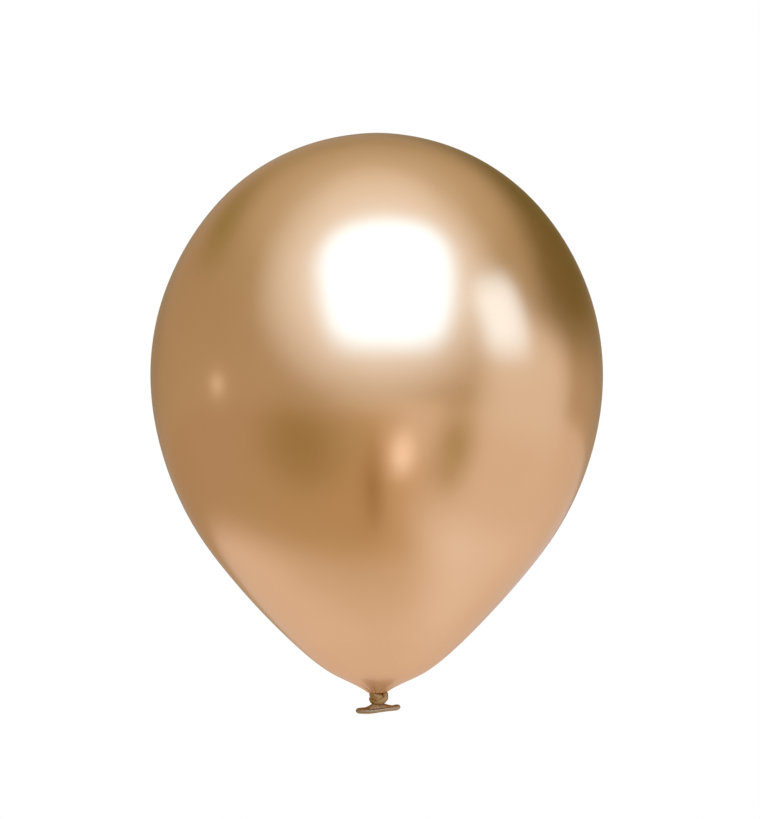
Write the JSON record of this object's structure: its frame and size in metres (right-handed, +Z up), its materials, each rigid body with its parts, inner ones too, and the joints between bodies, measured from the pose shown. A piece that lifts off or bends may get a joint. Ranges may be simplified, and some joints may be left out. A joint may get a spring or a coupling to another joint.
{
  "type": "latex balloon",
  "caption": "Inflated pear-shaped latex balloon in glossy metallic gold, its pleated neck tied in an overhand knot over a flattened tail with a rolled lip.",
  "frame": {"origin": "on the balloon's axis at the throat, where the skin gathers into the neck above the knot", "axes": "+Z up the balloon's axis, away from the knot; X along the flattened lip; -Y is the front"},
  "size_m": [0.28, 0.2798, 0.3588],
  "materials": {
    "stretched_latex": "glossy metallic gold, stretched thin",
    "gathered_latex": "satin metallic gold, unstretched and pleated",
    "rolled_latex": "satin metallic gold, rolled bead"
  },
  "bodies": {
    "knot": {"knot_core": "gathered_latex", "knot_turn": "gathered_latex"},
    "neck": {"neck_gather": "gathered_latex"},
    "envelope": {"envelope": "stretched_latex"},
    "tail": {"tail_sleeve": "gathered_latex", "rolled_lip": "rolled_latex"}
  },
  "joints": [
    {"name": "neck_nod", "type": "hinge", "parent": "knot", "child": "neck", "pos_m": [0, 0, 0], "axis": [1, 0, 0], "range_deg": [-15, 15], "stiffness_Nm_per_rad": 0.03},
    {"name": "neck_sway", "type": "hinge", "parent": "neck", "child": "envelope", "pos_m": [0, 0, 0], "axis": [0, 1, 0], "range_deg": [-15, 15], "stiffness_Nm_per_rad": 0.03},
    {"name": "tail_fold", "type": "hinge", "parent": "knot", "child": "tail", "pos_m": [0, 0, -0.0081], "axis": [1, 0, 0], "range_deg": [-35, 35], "stiffness_Nm_per_rad": 0.00005}
  ]
}
